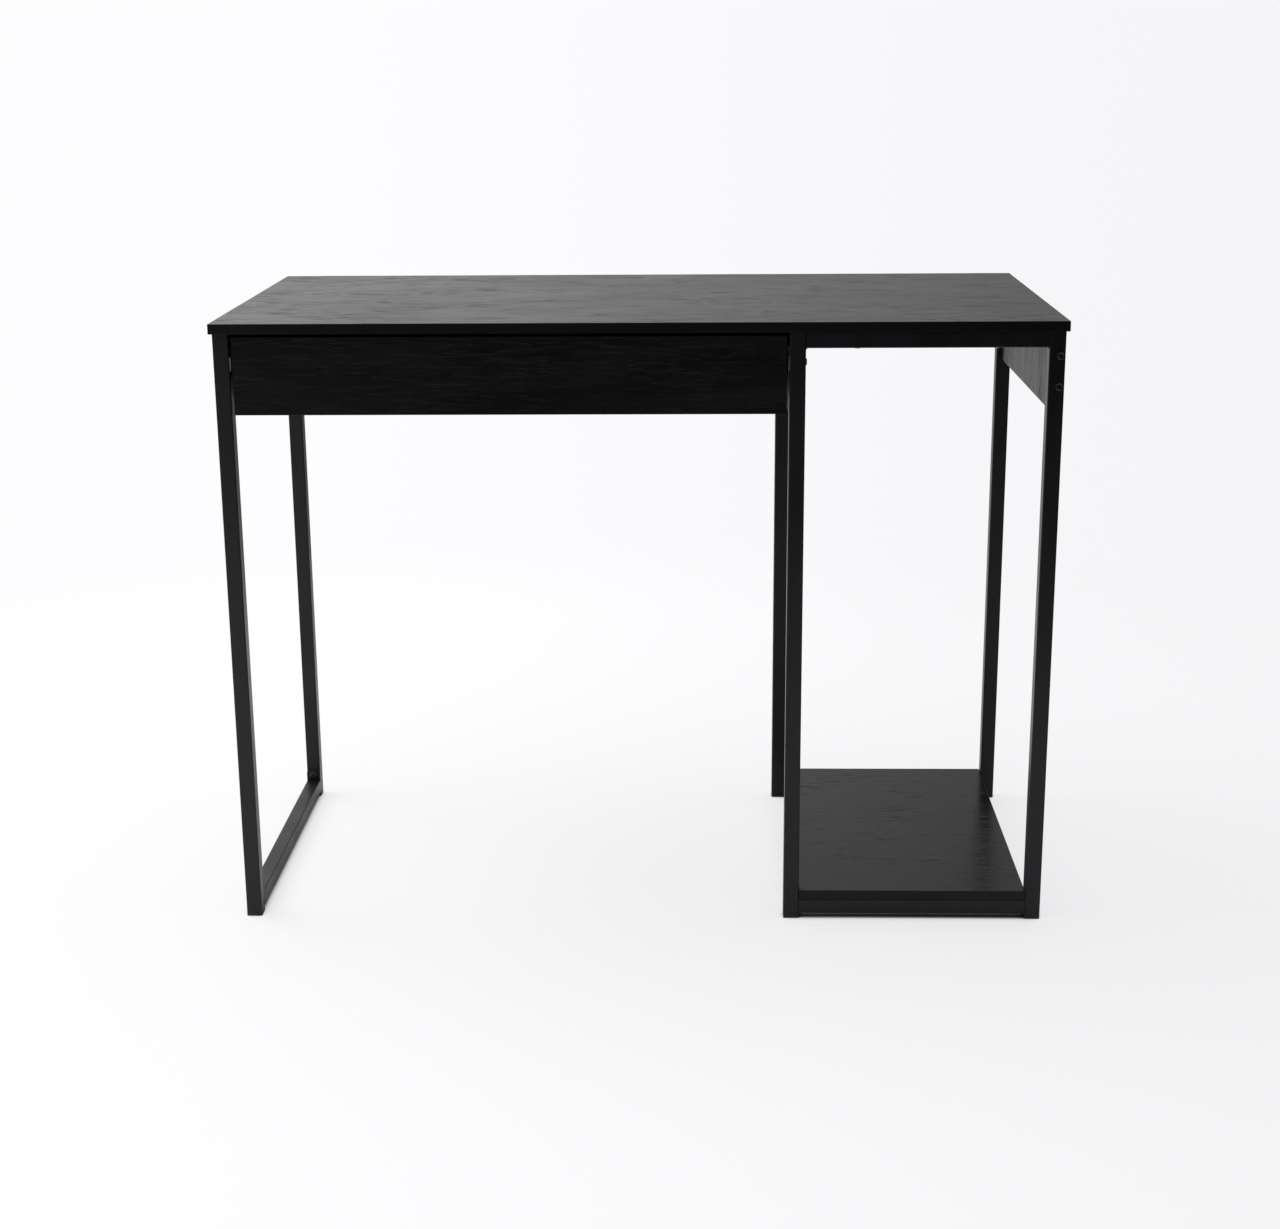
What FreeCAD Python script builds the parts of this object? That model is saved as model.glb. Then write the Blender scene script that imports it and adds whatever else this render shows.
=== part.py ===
import FreeCAD, Part
import os

# A writing desk: a laminated top on six square-tube legs, one drawer over the knee space,
# and an open bay with a low shelf beside it.
# Millimetres. X runs along the desk, Y from front to back, Z up.
# The origin is on the floor, under the middle of the top.

Vector = FreeCAD.Vector
X_AXIS = Vector(1, 0, 0)
Y_AXIS = Vector(0, 1, 0)
Z_AXIS = Vector(0, 0, 1)

# Overall
DESK_WIDTH = 1000.0
DESK_DEPTH = 500.0
DESK_HEIGHT = 745.0

# Boards
TOP_THICK = 12.0
SHELF_THICK = 12.0
PANEL_THICK = 12.0
PANEL_HEIGHT = 97.0
BAND_THICK = 1.0
BAND_ROUND = 0.4
SHELF_SIDE_GAP = 0.5

# Steel frame
TUBE = 19.0
TUBE_WALL = 1.2
TUBE_ROUND = 1.5
TUBE_INSIDE_ROUND = 0.4
SIDE_OVERHANG = 3.5
FRONT_OVERHANG = 4.0
REAR_OVERHANG = 46.0
BAY_WIDTH = 281.0
RAIL_LIFT = 6.0
TAB_THICK = 2.0
TAB_RISE = 16.0
TAB_ROUND = 5.0

# Feet and plugs in the tube ends
GLIDE_HEIGHT = 3.0
GLIDE_PLUG = 12.0
TOP_PLUG = 10.0
PLUG_GAP = 0.1

# Drawer
DRAWER_FRONT_THICK = 12.0
DRAWER_FRONT_HEIGHT = 92.0
DRAWER_TOP_GAP = 4.0
DRAWER_SIDE_GAP = 3.0
DRAWER_BOARD = 12.0
DRAWER_BOX_HEIGHT = 70.0
DRAWER_BOX_DROP = 11.0
DRAWER_REAR_SPACE = 26.0
DRAWER_BOTTOM_THICK = 3.0
DRAWER_BOTTOM_RISE = 6.0
GROOVE_DEPTH = 5.0
GROOVE_GAP = 0.2

# Ball-bearing runners
RUNNER_SPACE = 12.7
RUNNER_HEIGHT = 35.0
RUNNER_DROP = 36.0
RUNNER_STEEL = 1.2
RUNNER_OVERLAP = 100.0
RUNNER_START_GAP = 1.0
RUNNER_LIP_AT = 9.0
RUNNER_LIP_FALL = 2.2
BALL_DIAMETER = 3.6
BALL_GAP = 0.3
BALL_CENTRE = 6.2
BALLS_PER_ROW = 6
BALL_PITCH = 12.0
CAGE_LENGTH = 80.0
CAGE_STEEL = 0.8
CAGE_WEB_AT = 2.8
CAGE_END_AT = 8.5
CAGE_START = 4.0
CAGE_BALL_GAP = 0.05
MEMBER_TIP_AT = 4.5
BUMPER_LENGTH = 7.0
BUMPER_GAP = 0.4
RUNNER_TAB_HEIGHT = 16.0

# Fasteners
PANEL_BOLT_DROP = 29.0
PANEL_BOLT_PITCH = 36.0
BACK_BOLT_DROP = 47.0
INSERT_RADIUS = 4.0
INSERT_LENGTH = 12.0
BOLT_PAST_INSERT = 2.0
PIN_IN_PANEL = 14.0
PIN_IN_LEG = 4.0
NUT_WIDTH = 8.0
NUT_HEIGHT = 4.0
CLEARANCE_HOLE = 0.2
SCREW_IN_BOARD = 8.5
TOP_SCREW_INSET = 60.0
SHELF_SCREW_INSET = 40.0
BRACKET_WIDTH = 30.0
BRACKET_DROP = 15.0
BRACKET_REACH = 20.0
BRACKET_STEEL = 1.5
BRACKET_INSET = 75.0
BRACKET_SCREW_PITCH = 16.0
RUNNER_SCREW_INSET = 30.0
CAM_RADIUS = 7.5
CAM_DEPTH = 9.5
CAM_SETBACK = 24.0
CAM_BOLT_IN_FRONT = 9.0
DOWEL_RADIUS = 3.0
DOWEL_IN_FRONT = 9.0
DOWEL_IN_SIDE = 15.0
DOWEL_OFFSET = 20.0
BACK_SCREW_OFFSET = 17.0
CUT_PAST = 1.0

# Head radius, head height, shank radius and cross-recess width of each kind of fastener
BOLT = {"head": 4.5, "height": 2.0, "shank": 2.5, "recess": 1.0}
THIN_BOLT = {"head": 4.0, "height": 1.5, "shank": 2.0, "recess": 0.9}
SCREW = {"head": 3.5, "height": 1.5, "shank": 1.75, "recess": 0.8}
RUNNER_SCREW = {"head": 3.2, "height": 0.9, "shank": 1.6, "recess": 0.8}

# Places worked out from the sizes above
TOP_UNDERSIDE = DESK_HEIGHT - TOP_THICK
PANEL_BOTTOM = TOP_UNDERSIDE - PANEL_HEIGHT
LEG_X = {
    "left": -DESK_WIDTH / 2 + SIDE_OVERHANG,
    "mid": DESK_WIDTH / 2 - SIDE_OVERHANG - 2 * TUBE - BAY_WIDTH,
    "right": DESK_WIDTH / 2 - SIDE_OVERHANG - TUBE,
}
LEG_Y = {
    "front": -DESK_DEPTH / 2 + FRONT_OVERHANG,
    "rear": DESK_DEPTH / 2 - REAR_OVERHANG - TUBE,
}
FRAME_FRONT = LEG_Y["front"]
FRAME_REAR = LEG_Y["rear"] + TUBE
PANEL_FRONT = FRAME_FRONT + TUBE
PANEL_REAR = LEG_Y["rear"]
BAY_LEFT = LEG_X["mid"] + TUBE
BAY_RIGHT = LEG_X["right"]
OPENING_LEFT = LEG_X["left"] + TUBE
OPENING_RIGHT = LEG_X["mid"]
PANEL_X = {
    "left": OPENING_LEFT - PANEL_THICK,
    "mid": OPENING_RIGHT,
    "right": LEG_X["right"] + TUBE - PANEL_THICK,
}
BACK_PANEL_FRONT = FRAME_REAR - PANEL_THICK
SHELF_UNDERSIDE = RAIL_LIFT + TUBE
PANEL_BOLT_Z = [
    TOP_UNDERSIDE - PANEL_BOLT_DROP,
    TOP_UNDERSIDE - PANEL_BOLT_DROP - PANEL_BOLT_PITCH,
]
BACK_BOLT_Z = [
    TOP_UNDERSIDE - BACK_BOLT_DROP,
    TOP_UNDERSIDE - BACK_BOLT_DROP - PANEL_BOLT_PITCH,
]
TAB_BOLT_Z = SHELF_UNDERSIDE + TAB_RISE / 2

FRONT_BACK_FACE = FRAME_FRONT + DRAWER_FRONT_THICK
DRAWER_FRONT_TOP = TOP_UNDERSIDE - DRAWER_TOP_GAP
DRAWER_FRONT_BOTTOM = DRAWER_FRONT_TOP - DRAWER_FRONT_HEIGHT
BOX_TOP = TOP_UNDERSIDE - DRAWER_BOX_DROP
BOX_BOTTOM = BOX_TOP - DRAWER_BOX_HEIGHT
BOX_MIDDLE = (BOX_TOP + BOX_BOTTOM) / 2
BOX_REAR = BACK_PANEL_FRONT - DRAWER_REAR_SPACE
BOX_LEFT = OPENING_LEFT + RUNNER_SPACE
BOX_RIGHT = OPENING_RIGHT - RUNNER_SPACE
FLOOR_UNDERSIDE = BOX_BOTTOM + DRAWER_BOTTOM_RISE
FLOOR_TOP = FLOOR_UNDERSIDE + DRAWER_BOTTOM_THICK
RUNNER_Z = TOP_UNDERSIDE - RUNNER_DROP
RUNNER_FRONT = FRONT_BACK_FACE + RUNNER_START_GAP
RUNNER_REAR = BOX_REAR + RUNNER_START_GAP
DRAWER_TRAVEL = (BOX_REAR - FRONT_BACK_FACE) - RUNNER_OVERLAP
MEMBER_REAR = RUNNER_REAR - BUMPER_LENGTH - BUMPER_GAP - RUNNER_START_GAP
SIDE_OF = {"left": 1, "right": -1}
RUNNER_FACE = {"left": OPENING_LEFT, "right": OPENING_RIGHT}


def block(x0, x1, y0, y1, z0, z1):
    """A plain box between two corners."""
    return Part.makeBox(x1 - x0, y1 - y0, z1 - z0, Vector(x0, y0, z0))


def rod(at, along, radius, length):
    """A cylinder that starts at a point and runs along a direction."""
    return Part.makeCylinder(radius, length, at, along)


def joined(pieces):
    """One solid from pieces that touch or overlap."""
    return pieces[0].fuse(pieces[1:]).removeSplitter()


def without(shape, cutters):
    """The shape with every cutter taken away."""
    if not cutters:
        return shape
    return shape.cut(cutters)


def edges_along(shape, axis):
    """The straight edges of a block that run along an axis."""
    chosen = []
    for edge in shape.Edges:
        run = edge.Vertexes[1].Point - edge.Vertexes[0].Point
        if abs(run.dot(axis)) > 0.999 * run.Length:
            chosen.append(edge)
    return chosen


def rounded_block(x0, x1, y0, y1, z0, z1, axis, radius):
    """A box whose four edges along one axis are rounded."""
    shape = block(x0, x1, y0, y1, z0, z1)
    return shape.makeFillet(radius, edges_along(shape, axis))


def tube_block(x0, x1, y0, y1, z0, z1, axis):
    """A square tube that fills a box and is open at both ends along the axis."""
    outside = rounded_block(x0, x1, y0, y1, z0, z1, axis, TUBE_ROUND)
    wall = Vector(TUBE_WALL, TUBE_WALL, TUBE_WALL) - axis * (TUBE_WALL + CUT_PAST)
    inside = rounded_block(
        x0 + wall.x, x1 - wall.x, y0 + wall.y, y1 - wall.y, z0 + wall.z, z1 - wall.z,
        axis, TUBE_INSIDE_ROUND,
    )
    return outside.cut(inside)


def placed(shape, at, up):
    """A copy of a shape modelled along +Z, turned so that its +Z points along up."""
    copy = shape.copy()
    copy.Placement = FreeCAD.Placement(at, FreeCAD.Rotation(Z_AXIS, up))
    return copy


def fastener(kind, at, into, length):
    """A place for one screw: where its head sits, which way it goes in, and how far."""
    return {"kind": kind, "at": at, "into": into, "length": length}


def fastener_shape(spec):
    """A pan-head screw with a cross recess."""
    kind = spec["kind"]
    head = rod(Vector(0, 0, 0), Z_AXIS, kind["head"], kind["height"])
    rim = [edge for edge in head.Edges if edge.Closed and edge.BoundBox.ZMin > kind["height"] / 2]
    head = head.makeFillet(kind["height"] * 0.6, rim)
    reach = kind["head"] * 0.55
    half = kind["recess"] / 2
    floor = kind["height"] * 0.4
    slot_x = block(-reach, reach, -half, half, floor, kind["height"] + CUT_PAST)
    slot_y = block(-half, half, -reach, reach, floor, kind["height"] + CUT_PAST)
    shank = rod(Vector(0, 0, 0), -Z_AXIS, kind["shank"], spec["length"] - kind["shank"] / 2)
    tip = Part.makeCone(
        kind["shank"], kind["shank"] / 2, kind["shank"] / 2,
        Vector(0, 0, kind["shank"] / 2 - spec["length"]), -Z_AXIS,
    )
    screw = joined([head, shank, tip]).cut([slot_x, slot_y])
    return placed(screw, spec["at"], -spec["into"])


def fastener_group(specs):
    """Identical fasteners as one group of separate solids."""
    return Part.Compound([fastener_shape(spec) for spec in specs])


def holes_for(specs, gap=0.0):
    """The round holes that the shanks of some fasteners need."""
    cutters = []
    for spec in specs:
        radius = spec["kind"]["shank"] + gap
        start = spec["at"] - spec["into"] * CUT_PAST
        cutters.append(rod(start, spec["into"], radius, spec["length"] + CUT_PAST))
    return cutters


def band_strip(x0, x1, y0, y1, z0, z1, axis, outward):
    """A strip of edge band: a box whose two long edges on its outward side are rounded."""
    shape = block(x0, x1, y0, y1, z0, z1)
    centre = shape.BoundBox.Center
    outer = [
        edge for edge in edges_along(shape, axis)
        if (edge.CenterOfMass - centre).dot(outward) > 0
    ]
    return shape.makeFillet(BAND_ROUND, outer)


def band_frame(x0, x1, y0, y1, z0, z1):
    """Four edge-band strips around a board: long ones front and rear, short ones between."""
    front = y0 + BAND_THICK
    rear = y1 - BAND_THICK
    return Part.Compound([
        band_strip(x0, x1, y0, front, z0, z1, X_AXIS, -Y_AXIS),
        band_strip(x0, x1, rear, y1, z0, z1, X_AXIS, Y_AXIS),
        band_strip(x0, x0 + BAND_THICK, front, rear, z0, z1, Y_AXIS, -X_AXIS),
        band_strip(x1 - BAND_THICK, x1, front, rear, z0, z1, Y_AXIS, X_AXIS),
    ])


def save(name, shape):
    """Write one node's STEP file."""
    shape.exportStep("parts/" + name + ".step")


# Where every fastener goes

def panel_centre(side):
    """The X of the middle of a side panel's thickness."""
    return PANEL_X[side] + PANEL_THICK / 2


PANEL_BOLT_LENGTH = TUBE + INSERT_LENGTH + BOLT_PAST_INSERT


def side_panel_bolts(side, end):
    """Bolts through a leg, front to back, into the end of a side panel."""
    into = Y_AXIS if end == "front" else -Y_AXIS
    face = FRAME_FRONT if end == "front" else FRAME_REAR
    x = panel_centre(side)
    return [fastener(BOLT, Vector(x, face, z), into, PANEL_BOLT_LENGTH) for z in PANEL_BOLT_Z]


def back_panel_bolts(side):
    """Bolts through a rear leg, sideways, into the end of the back panel."""
    into = X_AXIS if side == "left" else -X_AXIS
    face = LEG_X["left"] if side == "left" else LEG_X["mid"] + TUBE
    y = BACK_PANEL_FRONT + PANEL_THICK / 2
    return [fastener(BOLT, Vector(face, y, z), into, PANEL_BOLT_LENGTH) for z in BACK_BOLT_Z]


def tab_bolt(end):
    """The bolt that holds one end tab of the left bottom rail to its leg."""
    into = -Y_AXIS if end == "front" else Y_AXIS
    face = PANEL_FRONT + TAB_THICK if end == "front" else PANEL_REAR - TAB_THICK
    length = TAB_THICK + TUBE_WALL + NUT_HEIGHT + BOLT_PAST_INSERT
    return fastener(BOLT, Vector(LEG_X["left"] + TUBE / 2, face, TAB_BOLT_Z), into, length)


RUNNER_TAB_Y = FRAME_FRONT + TUBE / 2
LEFT_TAB_BOLT = fastener(
    THIN_BOLT, Vector(OPENING_LEFT + RUNNER_STEEL, RUNNER_TAB_Y, RUNNER_Z), -X_AXIS,
    RUNNER_STEEL + TUBE_WALL + NUT_HEIGHT + BOLT_PAST_INSERT,
)
RIGHT_TAB_BOLT = fastener(
    THIN_BOLT, Vector(BAY_LEFT, RUNNER_TAB_Y, RUNNER_Z), -X_AXIS, TUBE + RUNNER_STEEL,
)


def rail_screws(rail_y, rail_z, inset):
    """Two screws up through a bay rail into the board above it."""
    y = rail_y + TUBE / 2
    return [
        fastener(SCREW, Vector(x, y, rail_z), Z_AXIS, TUBE + SCREW_IN_BOARD)
        for x in (BAY_LEFT + inset, BAY_RIGHT - inset)
    ]


TOP_RAIL_Z = TOP_UNDERSIDE - TUBE
TOP_RAIL_SCREWS = {end: rail_screws(LEG_Y[end], TOP_RAIL_Z, TOP_SCREW_INSET) for end in LEG_Y}
SHELF_SCREWS = {end: rail_screws(LEG_Y[end], RAIL_LIFT, SHELF_SCREW_INSET) for end in LEG_Y}


def bracket_places():
    """Each bracket: its panel, the corner where panel meets top, its outward and long ways."""
    places = []
    for y in (PANEL_FRONT + BRACKET_INSET, PANEL_REAR - BRACKET_INSET):
        places.append(("left", Vector(OPENING_LEFT, y, TOP_UNDERSIDE), X_AXIS, Y_AXIS))
        places.append(("mid", Vector(PANEL_X["mid"] + PANEL_THICK, y, TOP_UNDERSIDE), X_AXIS, Y_AXIS))
        places.append(("right", Vector(PANEL_X["right"], y, TOP_UNDERSIDE), -X_AXIS, Y_AXIS))
    for x in (OPENING_LEFT + 2 * BRACKET_INSET, OPENING_RIGHT - 2 * BRACKET_INSET):
        places.append(("back", Vector(x, BACK_PANEL_FRONT, TOP_UNDERSIDE), -Y_AXIS, X_AXIS))
    return places


def span(points):
    """The box whose corners are some points."""
    xs = [point.x for point in points]
    ys = [point.y for point in points]
    zs = [point.z for point in points]
    return block(min(xs), max(xs), min(ys), max(ys), min(zs), max(zs))


def bracket_screws(corner, out, along):
    """Two screws up into the top and two into the panel."""
    screws = []
    length = BRACKET_STEEL + SCREW_IN_BOARD
    for step in (-BRACKET_SCREW_PITCH / 2, BRACKET_SCREW_PITCH / 2):
        under = corner + along * step + out * (BRACKET_REACH * 0.6) - Z_AXIS * BRACKET_STEEL
        beside = corner + along * step + out * BRACKET_STEEL - Z_AXIS * (BRACKET_DROP * 0.6)
        screws.append(("top", fastener(SCREW, under, Z_AXIS, length)))
        screws.append(("panel", fastener(SCREW, beside, -out, length)))
    return screws


def bracket_screws_in(where):
    """The bracket screws that go into the top or into one of the panels."""
    found = []
    for panel, corner, out, along in bracket_places():
        for target, spec in bracket_screws(corner, out, along):
            if where in (target, panel) and (where == "top") == (target == "top"):
                found.append(spec)
    return found


def runner_screw_rows(front, rear):
    """Three places along a runner."""
    return (front + RUNNER_SCREW_INSET, (front + rear) / 2, rear - RUNNER_SCREW_INSET)


def cabinet_screws(side):
    """Screws that hold a runner's outer member to its panel."""
    out = X_AXIS * SIDE_OF[side]
    x = RUNNER_FACE[side] + SIDE_OF[side] * RUNNER_STEEL
    return [
        fastener(RUNNER_SCREW, Vector(x, y, RUNNER_Z), -out, RUNNER_STEEL + SCREW_IN_BOARD)
        for y in runner_screw_rows(RUNNER_FRONT, RUNNER_REAR)
    ]


def drawer_member_screws(side):
    """Screws that hold a runner's inner member to the drawer's side."""
    out = X_AXIS * SIDE_OF[side]
    x = RUNNER_FACE[side] + SIDE_OF[side] * (RUNNER_SPACE - RUNNER_STEEL)
    return [
        fastener(RUNNER_SCREW, Vector(x, y, RUNNER_Z), out, RUNNER_STEEL + SCREW_IN_BOARD)
        for y in runner_screw_rows(FRONT_BACK_FACE + RUNNER_SCREW_INSET, MEMBER_REAR)
    ]


def drawer_side_box(side):
    """The lowest and highest X of one side of the drawer."""
    if side == "left":
        return BOX_LEFT, BOX_LEFT + DRAWER_BOARD
    return BOX_RIGHT - DRAWER_BOARD, BOX_RIGHT


def drawer_back_screws(side):
    """Screws sunk into a drawer side and on into the end of the drawer's back."""
    out = X_AXIS * SIDE_OF[side]
    outer_face = BOX_LEFT if side == "left" else BOX_RIGHT
    x = outer_face + SIDE_OF[side] * SCREW["height"]
    y = BOX_REAR - DRAWER_BOARD / 2
    length = DRAWER_BOARD + SCREW_IN_BOARD
    return [
        fastener(SCREW, Vector(x, y, BOX_MIDDLE + offset), out, length)
        for offset in (-BACK_SCREW_OFFSET, BACK_SCREW_OFFSET)
    ]


def head_pockets(specs):
    """Pockets that sink the heads of some screws below a face."""
    cutters = []
    for spec in specs:
        kind = spec["kind"]
        start = spec["at"] - spec["into"] * (kind["height"] + CUT_PAST)
        cutters.append(rod(start, spec["into"], kind["head"], kind["height"] + CUT_PAST))
    return cutters


DRAWER_BOTTOM_SCREWS = [
    fastener(
        SCREW, Vector(x, BOX_REAR - DRAWER_BOARD / 2, FLOOR_UNDERSIDE), Z_AXIS,
        DRAWER_BOTTOM_THICK + SCREW_IN_BOARD,
    )
    for x in (
        BOX_LEFT + 3 * DRAWER_BOARD, (BOX_LEFT + BOX_RIGHT) / 2, BOX_RIGHT - 3 * DRAWER_BOARD,
    )
]


# The top

def make_desk_top():
    """The laminated board inside its edge bands, drilled from below for its screws."""
    board = block(
        -DESK_WIDTH / 2 + BAND_THICK, DESK_WIDTH / 2 - BAND_THICK,
        -DESK_DEPTH / 2 + BAND_THICK, DESK_DEPTH / 2 - BAND_THICK,
        TOP_UNDERSIDE, DESK_HEIGHT,
    )
    screws = TOP_RAIL_SCREWS["front"] + TOP_RAIL_SCREWS["rear"] + bracket_screws_in("top")
    return without(board, holes_for(screws))


def make_desk_top_bands():
    """The bands glued around the top board."""
    return band_frame(
        -DESK_WIDTH / 2, DESK_WIDTH / 2, -DESK_DEPTH / 2, DESK_DEPTH / 2,
        TOP_UNDERSIDE, DESK_HEIGHT,
    )


# Legs and rails

def pin_starts(side):
    """Where the two pins that locate the front of a side panel begin, inside the leg."""
    y = PANEL_FRONT - TUBE_WALL - PIN_IN_LEG
    return [Vector(panel_centre(side), y, z) for z in PANEL_BOLT_Z]


PIN_LENGTH = PIN_IN_LEG + TUBE_WALL + PIN_IN_PANEL


def pin_shapes(side):
    """The two steel pins in the front end of a side panel."""
    return [rod(at, Y_AXIS, BOLT["shank"], PIN_LENGTH) for at in pin_starts(side)]


def leg_fasteners(side, end):
    """Every bolt that goes into one leg."""
    specs = []
    if end == "rear":
        specs += side_panel_bolts(side, end)
        if side != "right":
            specs += back_panel_bolts(side)
    if end == "front" and side == "right":
        specs += side_panel_bolts(side, end)
    if side == "left":
        specs.append(tab_bolt(end))
        if end == "front":
            specs.append(LEFT_TAB_BOLT)
    if side == "mid" and end == "front":
        specs.append(RIGHT_TAB_BOLT)
    return specs


def make_leg(side, end):
    """One leg: a square tube from its foot to the underside of the top."""
    x = LEG_X[side]
    y = LEG_Y[end]
    leg = tube_block(x, x + TUBE, y, y + TUBE, GLIDE_HEIGHT, TOP_UNDERSIDE, Z_AXIS)
    cutters = holes_for(leg_fasteners(side, end), CLEARANCE_HOLE)
    if end == "front" and side != "right":
        cutters += pin_shapes(side)
    return without(leg, cutters)


def make_glides():
    """Plastic feet: a flange under each leg and a plug inside its tube."""
    glides = []
    inset = TUBE_WALL + PLUG_GAP
    for x in LEG_X.values():
        for y in LEG_Y.values():
            flange = rounded_block(x, x + TUBE, y, y + TUBE, 0, GLIDE_HEIGHT, Z_AXIS, TUBE_ROUND)
            plug = rounded_block(
                x + inset, x + TUBE - inset, y + inset, y + TUBE - inset,
                GLIDE_HEIGHT, GLIDE_HEIGHT + GLIDE_PLUG, Z_AXIS, TUBE_INSIDE_ROUND,
            )
            glides.append(joined([flange, plug]))
    return Part.Compound(glides)


def make_top_plugs():
    """Plastic plugs that close the top ends of the legs."""
    inset = TUBE_WALL + PLUG_GAP
    plugs = []
    for x in LEG_X.values():
        for y in LEG_Y.values():
            plugs.append(rounded_block(
                x + inset, x + TUBE - inset, y + inset, y + TUBE - inset,
                TOP_UNDERSIDE - TOP_PLUG, TOP_UNDERSIDE, Z_AXIS, TUBE_INSIDE_ROUND,
            ))
    return Part.Compound(plugs)


def make_left_bottom_rail():
    """A tube between the left legs, with a tab at each end that stands up against its leg."""
    x = LEG_X["left"]
    tube = tube_block(
        x, x + TUBE, PANEL_FRONT + TAB_THICK, PANEL_REAR - TAB_THICK,
        RAIL_LIFT, SHELF_UNDERSIDE, Y_AXIS,
    )
    tabs = []
    for y in (PANEL_FRONT, PANEL_REAR - TAB_THICK):
        tabs.append(rounded_block(
            x, x + TUBE, y, y + TAB_THICK, RAIL_LIFT, SHELF_UNDERSIDE + TAB_RISE,
            Y_AXIS, TAB_ROUND,
        ))
    rail = joined([tube] + tabs)
    return without(rail, holes_for([tab_bolt("front"), tab_bolt("rear")]))


def make_bay_rail(end, z, screws):
    """A tube across the bay between its two front legs or its two rear legs."""
    y = LEG_Y[end]
    rail = tube_block(BAY_LEFT, BAY_RIGHT, y, y + TUBE, z, z + TUBE, X_AXIS)
    return without(rail, holes_for(screws, CLEARANCE_HOLE))


# Panels and shelf

def insert_starts():
    """Where each threaded insert begins, and which way it goes into its board."""
    places = {"left": [], "mid": [], "right": [], "back": []}
    for side in LEG_X:
        for end in LEG_Y:
            if end == "front" and side != "right":
                continue
            for spec in side_panel_bolts(side, end):
                places[side].append((spec["at"] + spec["into"] * TUBE, spec["into"]))
    for side in ("left", "mid"):
        for spec in back_panel_bolts(side):
            places["back"].append((spec["at"] + spec["into"] * TUBE, spec["into"]))
    return places


def make_inserts():
    """Threaded sleeves in the ends of the panels."""
    sleeves = []
    for places in insert_starts().values():
        for at, into in places:
            sleeve = rod(at, into, INSERT_RADIUS, INSERT_LENGTH)
            bore = rod(at - into * CUT_PAST, into, BOLT["shank"], INSERT_LENGTH + 2 * CUT_PAST)
            sleeves.append(sleeve.cut(bore))
    return Part.Compound(sleeves)


def insert_holes(panel):
    """The holes that a panel's threaded inserts are set in."""
    return [
        rod(at - into * CUT_PAST, into, INSERT_RADIUS, INSERT_LENGTH + CUT_PAST)
        for at, into in insert_starts()[panel]
    ]


def make_side_panel(side):
    """A board between a front and a rear leg, close under the top."""
    x = PANEL_X[side]
    board = block(
        x, x + PANEL_THICK, PANEL_FRONT, PANEL_REAR, PANEL_BOTTOM + BAND_THICK, TOP_UNDERSIDE,
    )
    bolts = side_panel_bolts(side, "rear")
    if side == "right":
        bolts += side_panel_bolts(side, "front")
    cutters = holes_for(bolts) + insert_holes(side) + holes_for(bracket_screws_in(side))
    if side != "right":
        cutters += pin_shapes(side)
    if side == "left":
        cutters += holes_for(cabinet_screws("left"))
    if side == "mid":
        cutters += holes_for(cabinet_screws("right"))
    return without(board, cutters)


def make_back_panel():
    """A board between the two rear legs behind the drawer."""
    board = block(
        OPENING_LEFT, OPENING_RIGHT, BACK_PANEL_FRONT, FRAME_REAR,
        PANEL_BOTTOM + BAND_THICK, TOP_UNDERSIDE,
    )
    bolts = back_panel_bolts("left") + back_panel_bolts("mid")
    cutters = holes_for(bolts) + insert_holes("back") + holes_for(bracket_screws_in("back"))
    return without(board, cutters)


def make_panel_bands():
    """Edge bands on the lower edges of the side panels and the back panel."""
    top = PANEL_BOTTOM + BAND_THICK
    bands = []
    for x in PANEL_X.values():
        bands.append(band_strip(
            x, x + PANEL_THICK, PANEL_FRONT, PANEL_REAR, PANEL_BOTTOM, top, Y_AXIS, -Z_AXIS,
        ))
    bands.append(band_strip(
        OPENING_LEFT, OPENING_RIGHT, BACK_PANEL_FRONT, FRAME_REAR, PANEL_BOTTOM, top,
        X_AXIS, -Z_AXIS,
    ))
    return Part.Compound(bands)


def make_shelf_board():
    """The low shelf, on the bay's bottom rails and between its four legs."""
    board = block(
        BAY_LEFT + SHELF_SIDE_GAP + BAND_THICK, BAY_RIGHT - SHELF_SIDE_GAP - BAND_THICK,
        FRAME_FRONT + BAND_THICK, FRAME_REAR - BAND_THICK,
        SHELF_UNDERSIDE, SHELF_UNDERSIDE + SHELF_THICK,
    )
    return without(board, holes_for(SHELF_SCREWS["front"] + SHELF_SCREWS["rear"]))


def make_shelf_bands():
    """The bands around the shelf."""
    return band_frame(
        BAY_LEFT + SHELF_SIDE_GAP, BAY_RIGHT - SHELF_SIDE_GAP, FRAME_FRONT, FRAME_REAR,
        SHELF_UNDERSIDE, SHELF_UNDERSIDE + SHELF_THICK,
    )


# Small steel pieces of the frame

def make_brackets():
    """Steel angles that tie the panels to the top."""
    brackets = []
    for _, corner, out, along in bracket_places():
        half = along * (BRACKET_WIDTH / 2)
        upright = span([
            corner - half, corner + half + out * BRACKET_STEEL - Z_AXIS * BRACKET_DROP,
        ])
        flat = span([
            corner - half, corner + half + out * BRACKET_REACH - Z_AXIS * BRACKET_STEEL,
        ])
        cutters = holes_for([spec for _, spec in bracket_screws(corner, out, along)])
        brackets.append(without(joined([upright, flat]), cutters))
    return Part.Compound(brackets)


def make_bracket_screws():
    """Every screw of the top brackets."""
    specs = []
    for _, corner, out, along in bracket_places():
        specs += [spec for _, spec in bracket_screws(corner, out, along)]
    return fastener_group(specs)


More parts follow.
